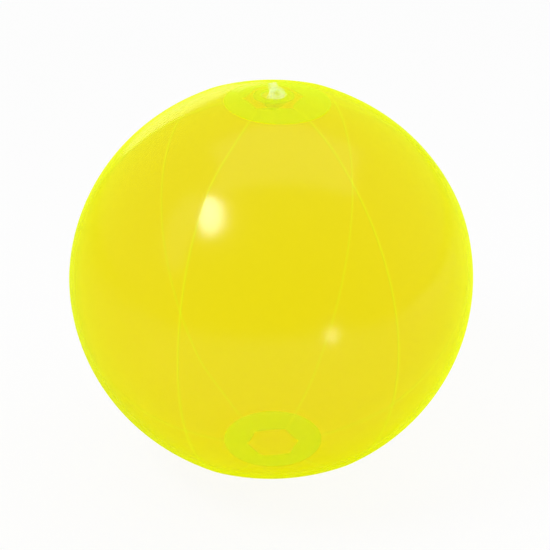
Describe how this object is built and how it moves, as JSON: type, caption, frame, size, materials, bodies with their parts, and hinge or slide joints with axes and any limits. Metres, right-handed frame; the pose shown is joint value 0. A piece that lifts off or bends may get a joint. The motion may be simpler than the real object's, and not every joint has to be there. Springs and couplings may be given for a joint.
{
  "type": "beach ball",
  "caption": "Inflated see-through beach ball of welded film panels with closing discs at the poles and a soft push-in valve with a strapped stopper.",
  "frame": {"origin": "lowest point of the ball, where the bottom disc rests on a surface", "axes": "+Z from the bottom pole up to the valve; one seam lies in the +X half-plane"},
  "size_m": [0.28, 0.28, 0.283],
  "materials": {
    "film": "gloss",
    "disc_film": "gloss",
    "valve": "gloss"
  },
  "bodies": {
    "ball": {"panel_1": "film", "panel_2": "film", "panel_3": "film", "panel_4": "film", "panel_5": "film", "panel_6": "film", "top_disc": "disc_film", "bottom_disc": "disc_film", "valve_flange": "valve", "valve_cup": "valve"},
    "stem": {"valve_stem": "valve", "stopper_strap": "valve"},
    "plug": {"stopper": "valve"},
    "flap": {"check_flap": "valve"}
  },
  "joints": [
    {"name": "valve_slide", "type": "slide", "parent": "ball", "child": "stem", "axis": [0.2106, -0.5785, 0.788], "range_m": [0, 0.01], "deforming": ["valve_cup"]},
    {"name": "stopper_hinge", "type": "hinge", "parent": "stem", "child": "plug", "pos_m": [-0.00083, 0.00614, 0.28159], "axis": [-0.9397, -0.342, 0], "range_deg": [0, 150], "stiffness_Nm_per_rad": 0.0003, "deforming": ["stopper_strap"]},
    {"name": "flap_hinge", "type": "hinge", "parent": "stem", "child": "flap", "pos_m": [-0.00189, 0.00904, 0.2702], "axis": [0.9397, 0.342, 0], "range_deg": [0, 60], "stiffness_Nm_per_rad": 0.0002}
  ]
}
